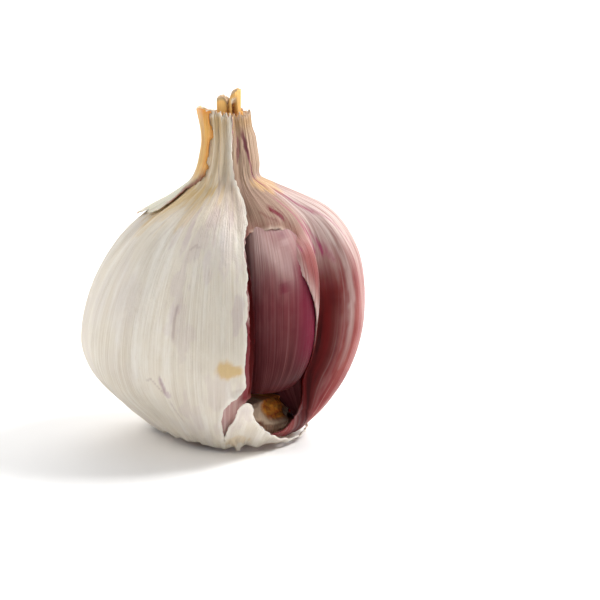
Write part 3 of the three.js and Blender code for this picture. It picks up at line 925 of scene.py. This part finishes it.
def root_plate():
    knots = np.array(PLATE_OUTLINE)
    run = np.append(0, np.hypot(*np.diff(knots, axis=0).T).cumsum())
    at = np.linspace(0, run[-1], PLATE_RINGS)
    radius, z = (np.interp(at, run, knots[:, axis])[:, None] for axis in (0, 1))
    angle = np.linspace(-180, 180, PLATE_STEPS, endpoint=False)[None]
    side = (angle - SCAR_ANGLE) * np.radians(SCAR_RADIUS)
    swell = 1 - np.abs((side - 1.6) / 9.0) ** 4 - ((z - 4.9) / 4.6) ** 2
    bulge = np.where(swell > 0, 12.4 + 3.2 * np.sqrt(np.maximum(swell, 0)), 0)
    bulge = np.minimum(bulge, mix(16.0, 13.7, smooth(angle, 60, 66)))
    wide = np.maximum(radius, np.where(radius > 6.8, bulge, 0))
    wide = np.minimum(wide, mix(13.2, 16.2, hill(angle, 5, 40, 135, 165)))
    crumb = 0.16 * folds(angle, z, 70, 1.4, 131, 3) + 0.12 * folds(angle, z, 24, 5.0, 132, 2)
    scar = np.hypot((side - 3.0) / 6.6, (z - 7.6) / 3.0) + 0.1 * folds(angle, z, 60, 2.0, 133, 2)
    on_top = smooth(z, 3.5, 5.5) * smooth(radius, 5, 8)
    hollow = (1 - smooth(scar, 0.55, 0.95)) * on_top
    rim = np.exp(-((scar - 1.02) / 0.16) ** 2) * on_top
    wide = wide - smooth(z, 0.1, 1.6) * np.abs(crumb) - 1.1 * hollow + 0.35 * rim
    piece = loft("root_plate_body", place(angle, wide, z))
    store_grain(piece, np.radians(angle), z)
    rings = (0.5 + 0.5 * np.cos(scar * 15)) * hollow
    # painted shadow: a thin dark line under the lower side of the scar's raised rim
    under = np.exp(-((scar - 1.25) / 0.09) ** 2) * on_top * (z < 8)
    for name, values in (("scar", hollow), ("rim", rim), ("rings", rings), ("under", under)):
        store(piece, name, np.append(np.clip(values, 0, 1), [0, 0]))
    return piece


# Dry roots, cut short, in three ragged rings under the plate: (radius, how many)
ROOT_RINGS = ((7.7, 26), (9.0, 34), (10.4, 40))
ROOT_TOP = 2.3
ROOT_SIDES, ROOT_LEVELS = 7, 6


def root_stubs():
    rng = np.random.default_rng(141)
    points, faces, grain = [], [], []
    for ring, count in ROOT_RINGS:
        for i in range(count):
            angle = 360 * (i + 0.7 * rng.random()) / count
            start = ring + 0.6 * rng.random()
            thick = 0.26 + 0.22 * rng.random()
            length = 1.2 + 0.9 * rng.random()
            splay = 0.5 * rng.random()
            first = len(points)
            for level in range(ROOT_LEVELS):
                share = level / (ROOT_LEVELS - 1)
                z = ROOT_TOP - length * share
                at = place(angle, start + splay * share ** 2, max(z, 0.12))
                for side in range(ROOT_SIDES):
                    turn = 2 * np.pi * side / ROOT_SIDES
                    reach = thick * (1 - 0.25 * share) * (1 + 0.15 * rng.random())
                    points.append(at + reach * np.array([np.cos(turn), np.sin(turn), 0]))
                    grain.append((np.cos(turn), np.sin(turn), z + i))
            faces.extend(stub_faces(first))
    piece = mesh_object("root_stubs", points, faces)
    store(piece, "grain", np.array(grain))
    for name in ("scar", "rim", "rings", "under"):
        store(piece, name, np.zeros(len(points)))
    return piece


def stub_faces(first):
    """The walls and the two ends of a stub whose points start at first."""
    faces = []
    for level in range(ROOT_LEVELS - 1):
        for side in range(ROOT_SIDES):
            after = (side + 1) % ROOT_SIDES
            high = first + level * ROOT_SIDES
            low = high + ROOT_SIDES
            faces.append((high + after, high + side, low + side, low + after))
    last = first + (ROOT_LEVELS - 1) * ROOT_SIDES
    faces.append(tuple(first + side for side in range(ROOT_SIDES)))
    faces.append(tuple(last + side for side in reversed(range(ROOT_SIDES))))
    return faces


# Materials

def colour(value):
    """An sRGB colour, 0 to 255, as the linear values that Blender takes. Leaves anything else as it is."""
    if not isinstance(value, tuple):
        return value
    share = np.array(value) / 255
    linear = np.where(share <= 0.04045, share / 12.92, ((share + 0.055) / 1.055) ** 2.4)
    return (*linear.tolist(), 1.0)


class Nodes:
    """A node tree that is filled by short calls, each of which gives back its node's output."""

    def __init__(self, tree):
        self.tree = tree

    def node(self, kind, inputs=(), output=0, **settings):
        made = self.tree.nodes.new(kind)
        for key, value in settings.items():
            setattr(made, key, value)
        for socket, value in dict(inputs).items():
            self.give(made.inputs[socket], value)
        return made.outputs[output]

    def give(self, socket, value):
        if isinstance(value, bpy.types.NodeSocket):
            self.tree.links.new(value, socket)
        else:
            socket.default_value = value

    def range(self, value, low, high, to_low=0.0, to_high=1.0):
        inputs = {"Value": value, "From Min": low, "From Max": high, "To Min": to_low, "To Max": to_high}
        return self.node("ShaderNodeMapRange", inputs)


class Material(Nodes):
    """A material whose textures follow the grain that its piece stores."""

    def __init__(self, name):
        self.material = bpy.data.materials.new(name)
        self.material.use_nodes = True
        super().__init__(self.material.node_tree)

    def mark(self, name, kind="Fac"):
        return self.node("ShaderNodeAttribute", output=kind, attribute_name=name)

    def noise(self, around, up, detail=4.0, rough=0.55, distortion=0.0):
        """Noise with around cells to a radian and up cells to a millimetre."""
        inputs = {0: self.mark("grain", "Vector"), 1: (around, around, up)}
        stretched = self.node("ShaderNodeVectorMath", inputs, operation="MULTIPLY")
        values = {"Vector": stretched, "Scale": 1.0, "Detail": detail}
        values.update({"Roughness": rough, "Distortion": distortion})
        return self.node("ShaderNodeTexNoise", values)

    def mottle(self, noise, levels):
        """Noise brought to a range: (low, high), and what they become where that isn't 0 and 1."""
        return self.range(self.noise(*noise), *levels)

    def times(self, a, b):
        return self.node("ShaderNodeMath", {0: a, 1: b}, operation="MULTIPLY")

    def blend(self, share, a, b):
        inputs = {0: share, 6: colour(a), 7: colour(b)}
        return self.node("ShaderNodeMix", inputs, output=2, data_type="RGBA")

    def paint(self, tone, mark, strength, over):
        """Lays a colour over the tone where the piece has a mark."""
        return self.blend(self.times(self.mark(mark), strength), tone, over)

    def bump(self, noise, depth, before=None):
        inputs = {"Height": self.noise(*noise), "Distance": depth * MM, "Strength": 1.0}
        if before is not None:
            inputs["Normal"] = before
        return self.node("ShaderNodeBump", inputs)

    def finish(self, **sockets):
        shader = self.tree.nodes["Principled BSDF"]
        for name, value in sockets.items():
            self.give(shader.inputs[name.replace("_", " ")], value)
        return self.material


def paper():
    made = Material("garlic paper")
    fibres = made.noise(120, 0.025, 5.0, 0.65)
    tone = made.blend(made.range(fibres, 0.32, 0.68), (204, 189, 168), (242, 235, 223))
    for noise, levels, over in (
        ((24, 0.03, 4.0), (0.35, 0.65, 0.35, 0), (204, 188, 164)),
        ((3.2, 0.07, 3.0), (0.35, 0.65), (230, 219, 202)),
        ((9, 0.045, 4.0, 0.6), (0.5, 0.66, 0, 0.5), (246, 240, 230)),
        ((2.6, 0.05, 2.0), (0.52, 0.72, 0, 0.35), (214, 202, 200)),
        ((210, 0.02, 3.0), (0.62, 0.75, 0, 0.35), (188, 168, 146)),
        ((60, 0.35, 2.0), (0.68, 0.78, 0, 0.3), (206, 176, 136)),
    ):
        tone = made.blend(made.mottle(noise, levels), tone, over)
    strands = made.blend(made.mottle((70, 0.02, 5.0, 0.7), (0.35, 0.62)), (224, 190, 152), (255, 246, 226))
    brown_lines = made.mottle((34, 0.012, 4.0), (0.56, 0.66, 0, 0.55))
    tips = made.mottle((64, 0.02, 3.0), (0.5, 0.6, 0, 0.75))
    for mark, strength, over in (
        ("neck", 0.85, strands),
        ("neck", brown_lines, (150, 104, 72)),
        ("tip", tips, (138, 96, 58)),
        ("blush", 0.7, (196, 174, 176)),
        # tan stains, with painted shade beside the leaf's edge and at the flap's foot
        ("stain", 0.85, (214, 178, 116)),
        ("crease", 0.5, (150, 120, 114)),
        # paler torn margin with a painted highlight along the torn edges
        ("rim", 0.7, (242, 235, 222)),
    ):
        tone = made.paint(tone, mark, strength, over)
    ridges = made.bump((18, 0.4, 5.0, 0.62), 0.26, made.bump((95, 0.03, 3.0), 0.22))
    return made.finish(
        Base_Color=tone, Roughness=made.range(fibres, 0.3, 0.7, 0.62, 0.46), Normal=ridges,
        Subsurface_Weight=0.12, Subsurface_Scale=0.003, Subsurface_Radius=(1.0, 0.7, 0.5),
        Specular_IOR_Level=0.35,
    )


def under_paper():
    made = Material("thin under paper")
    tone = made.blend(made.mottle((130, 0.03, 4.0, 0.6), (0.3, 0.7)), (176, 122, 118), (212, 184, 178))
    tone = made.paint(tone, "blush", made.mark("rim"), (118, 22, 34))
    return made.finish(
        Base_Color=tone, Roughness=0.5, Normal=made.bump((110, 0.03, 3.0), 0.1),
        Subsurface_Weight=0.1, Subsurface_Scale=0.002,
    )


def pink_skin():
    made = Material("veined inner skin")
    tone = made.blend(made.mottle((5, 0.1, 3.0), (0.3, 0.7)), (140, 56, 54), (168, 98, 92))
    for noise, levels, over in (
        ((22, 0.03, 4.0, 0.6, 0.3), (0.4, 0.68, 0, 0.55), (120, 40, 46)),
        ((130, 0.02, 3.0), (0.52, 0.68, 0, 0.65), (126, 46, 66)),
        ((9, 0.035, 4.0, 0.6), (0.5, 0.68, 0, 0.5), (200, 166, 160)),
        ((74, 0.02, 3.0), (0.55, 0.7, 0, 0.35), (206, 176, 170)),
    ):
        tone = made.blend(made.mottle(noise, levels), tone, over)
    membrane = made.blend(made.mottle((40, 0.05, 4.0), (0.35, 0.65)), (158, 128, 122), (226, 210, 202))
    # near-black maroon: painted shade over the skin's own deep red, where the deep mark lies
    dark = made.blend(made.mottle((30, 0.04, 4.0), (0.35, 0.65)), (58, 1, 2), (98, 12, 12))
    strands = made.mottle((60, 0.03, 4.0), (0.3, 0.7))
    skirt = made.blend(strands, (134, 104, 88), (170, 142, 124))
    neck = made.blend(strands, (156, 118, 98), (228, 204, 178))
    for mark, strength, over in (
        ("pale", 0.8, membrane),
        ("deep", 1.0, dark),
        ("skirt", 1.0, made.blend(made.mark("neck"), skirt, neck)),
        ("stain", 0.6, (208, 168, 112)),
        ("tip", made.mottle((64, 0.02, 3.0), (0.5, 0.6, 0, 0.75)), (112, 74, 50)),
        ("streak", made.mottle((80, 0.12, 3.0, 0.7), (0.35, 0.6, 0.25, 0.9)), (156, 62, 98)),
        ("bruise", 0.75, (106, 50, 62)),
        ("crease", 1.0, (108, 18, 30)),
        # painted highlight along the torn hem and the splintered top
        ("rim", 0.55, (222, 200, 182)),
    ):
        tone = made.paint(tone, mark, strength, over)
    return made.finish(
        Base_Color=tone, Roughness=made.mottle((40, 0.2), (0.3, 0.7, 0.38, 0.52)),
        Normal=made.bump((14, 0.6, 4.0), 0.05, made.bump((90, 0.03, 3.0), 0.10)),
        Subsurface_Weight=0.04, Subsurface_Scale=0.002, Specular_IOR_Level=0.09,
    )


def leaf_paper():
    made = Material("dry outer leaf")
    tone = made.blend(made.mottle((110, 0.03, 4.0, 0.6), (0.3, 0.7)), (216, 202, 178), (236, 228, 212))
    tan = made.blend(made.mottle((30, 0.1), (0.35, 0.65)), (236, 156, 56), (250, 206, 122))
    tone = made.paint(tone, "stain", 1.0, tan)
    tone = made.paint(tone, "orange", 0.8, (218, 136, 48))
    # brown-red front edge, partly the leaf's own brown, partly painted shade of the gap under it
    tone = made.paint(tone, "crease", 0.85, (132, 66, 44))
    return made.finish(
        Base_Color=tone, Roughness=0.55, Normal=made.bump((90, 0.04, 3.0), 0.14),
        Subsurface_Weight=0.15, Subsurface_Scale=0.003,
    )


def stalk_wood():
    made = Material("dry stalk")
    tone = made.blend(made.mottle((14, 0.05, 5.0, 0.65), (0.3, 0.7)), (228, 162, 72), (252, 212, 134))
    tone = made.blend(made.mottle((26, 0.08, 3.0), (0.6, 0.72, 0, 0.7)), tone, (140, 88, 44))
    # dark brown for painted shade in the hollow and the split
    dark = made.blend(made.mottle((7, 1.4, 4.0), (0.4, 0.62)), (112, 58, 18), (206, 138, 58))
    tone = made.paint(tone, "hollow", 1.0, dark)
    tone = made.paint(tone, "pith", 1.0, (246, 236, 218))
    tone = made.paint(tone, "grey", 0.7, (150, 138, 122))
    return made.finish(Base_Color=tone, Roughness=0.7, Normal=made.bump((16, 0.05, 4.0), 0.2))


def cork():
    made = Material("corky root plate")
    tone = made.blend(made.mottle((26, 0.9, 5.0, 0.6), (0.3, 0.7)), (200, 154, 120), (246, 214, 184))
    tone = made.blend(made.mottle((44, 0.1, 3.0), (0.5, 0.66, 0, 0.7)), tone, (164, 116, 88))
    orange = made.blend(made.mottle((12, 1.2, 4.0), (0.35, 0.65)), (196, 88, 14), (255, 172, 58))
    tone = made.paint(tone, "scar", 1.0, orange)
    tone = made.paint(tone, "rings", 0.45, (110, 44, 10))
    tone = made.paint(tone, "rim", 0.8, (240, 214, 184))
    # painted shadow under the scar's rim
    tone = made.paint(tone, "under", 0.9, (104, 44, 20))
    return made.finish(Base_Color=tone, Roughness=0.8, Normal=made.bump((30, 1.2, 5.0, 0.65), 0.3))


def clove_skin():
    made = Material("clove skin")
    tone = made.blend(made.mottle((3, 0.12, 3.0), (0.3, 0.7)), (116, 44, 52), (144, 82, 84))
    tone = made.blend(made.mottle((26, 0.03, 4.0, 0.6, 0.2), (0.4, 0.65, 0, 0.5)), tone, (92, 34, 44))
    # dark wine towards the bottom: partly the skin's own colour, partly painted shade
    tone = made.paint(tone, "low", 0.92, (58, 4, 6))
    tone = made.blend(made.mottle((46, 0.02, 3.0, 0.6), (0.52, 0.68, 0, 0.3)), tone, (160, 108, 106))
    # pale grey top and painted highlights
    tone = made.paint(tone, "pale_top_and_highlight", made.mottle((26, 0.06, 4.0), (0.28, 0.55, 0.35, 0.85)), (196, 168, 162))
    tone = made.paint(tone, "band", 0.85, (106, 14, 44))
    return made.finish(
        Base_Color=tone, Roughness=made.mottle((8, 0.3), (0.3, 0.7, 0.38, 0.5)),
        Normal=made.bump((24, 0.04, 3.0), 0.12),
        Subsurface_Weight=0.04, Subsurface_Scale=0.002, Specular_IOR_Level=0.08,
    )


# The bulb, put together

def dress(piece, material, slot, *nodes):
    piece.data.materials.clear()
    piece.data.materials.append(material)
    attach(piece, "root")
    if nodes:
        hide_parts(*nodes)


def build_bulb():
    wrapper, wood, root, skin = paper(), stalk_wood(), cork(), clove_skin()
    dress(outer_wrapper(), wrapper, "wrapper", "outer_wrapper")
    dress(under_wrapper(), under_paper(), "wrapper")
    dress(inner_wrapper(), pink_skin(), "inner_skin", "inner_wrapper")
    dress(loose_leaf(), leaf_paper(), "dry_leaf", "loose_leaf")
    dress(scape(), wood, "stalk", "scape")
    dress(neck_core(), wood, "stalk")
    dress(root_plate(), root, "root_plate", "basal_plate")
    dress(root_stubs(), root, "root_plate")
    dress(inner_clove(), skin, "clove_skin", "inner_clove")
    for number in range(1, CLOVE_COUNT + 1):
        dress(ring_clove(number), skin, "clove_skin", f"clove_{number}")


# The floor, the light and the camera
FLOOR_HALF = 1.6
WORLD_FRONT, WORLD_BACK = 0.28, 0.56
LIGHT_TARGET = (0, 0, 0.03)


def floor():
    mesh = bpy.data.meshes.new("floor")
    corners = [(x * FLOOR_HALF, y * FLOOR_HALF, 0) for x, y in ((-1, -1), (1, -1), (1, 1), (-1, 1))]
    mesh.from_pydata(corners, [], [(0, 1, 2, 3)])
    made = bpy.data.objects.new("floor", mesh)
    bpy.context.scene.collection.objects.link(made)
    white = Material("white floor")
    white.finish(Base_Color=(0.92, 0.915, 0.91, 1), Roughness=0.6, Specular_IOR_Level=0.2)
    mesh.materials.append(white.material)


def soft_light(name, position, size, watts, aim=LIGHT_TARGET):
    lamp = bpy.data.lights.new(name, "AREA")
    lamp.shape = "RECTANGLE"
    lamp.size, lamp.size_y = size
    lamp.energy = watts
    made = bpy.data.objects.new(name, lamp)
    made.location = position
    made.rotation_euler = (Vector(aim) - Vector(position)).to_track_quat("-Z", "Y").to_euler()
    bpy.context.scene.collection.objects.link(made)


def studio_world():
    """White all round, brighter behind and above the bulb than where the camera stands."""
    world = bpy.data.worlds.new("studio")
    world.use_nodes = True
    made = Nodes(world.node_tree)
    direction = made.node("ShaderNodeTexCoord", output="Generated")
    towards_back = {0: direction, 1: (0.0, 0.8, 0.6)}
    share = made.node("ShaderNodeVectorMath", towards_back, output="Value", operation="DOT_PRODUCT")
    background = world.node_tree.nodes["Background"]
    made.give(background.inputs["Strength"], made.range(share, -1.0, 1.0, WORLD_FRONT, WORLD_BACK))
    made.give(background.inputs["Color"], (1, 1, 1, 1))
    bpy.context.scene.world = world


def light_scene():
    studio_world()
    soft_light("left_softbox", (-0.6, -0.2, 0.45), (0.5, 0.5), 2.15)
    soft_light("right_softbox", (0.47, 0.2, 0.5), (0.28, 0.28), 6.2)
    soft_light("back_softbox", (0.15, 0.55, 0.55), (0.5, 0.4), 0.6)
    soft_light("background_light", (0.0, 1.3, 1.0), (1.6, 0.8), 17.0, aim=(0, 1.25, 0))


# The camera stands a little above the bulb and looks slightly down, as it did for the photograph
CAMERA_AWAY = 0.55
CAMERA_RISE = 12.0
CAMERA_TARGET = (0.0, 0.0, 0.028)
TARGET_PIXEL = (224, 305)
PIXELS_PER_MM = 4.667
IMAGE_SIZE = 600
SENSOR = 36.0


def camera():
    lens = bpy.data.cameras.new("camera")
    lens.sensor_width = SENSOR
    focal_pixels = PIXELS_PER_MM * CAMERA_AWAY / MM
    lens.lens = SENSOR * focal_pixels / IMAGE_SIZE
    lens.shift_x = (IMAGE_SIZE / 2 - TARGET_PIXEL[0]) / IMAGE_SIZE
    lens.shift_y = (TARGET_PIXEL[1] - IMAGE_SIZE / 2) / IMAGE_SIZE
    made = bpy.data.objects.new("camera", lens)
    rise = np.radians(CAMERA_RISE)
    made.location = Vector(CAMERA_TARGET) + CAMERA_AWAY * Vector((0, -np.cos(rise), np.sin(rise)))
    made.rotation_euler = (Vector(CAMERA_TARGET) - made.location).to_track_quat("-Z", "Y").to_euler()
    bpy.context.scene.collection.objects.link(made)
    bpy.context.scene.camera = made


camera()
build_bulb()
floor()
light_scene()
bpy.context.scene.view_settings.view_transform = "Standard"
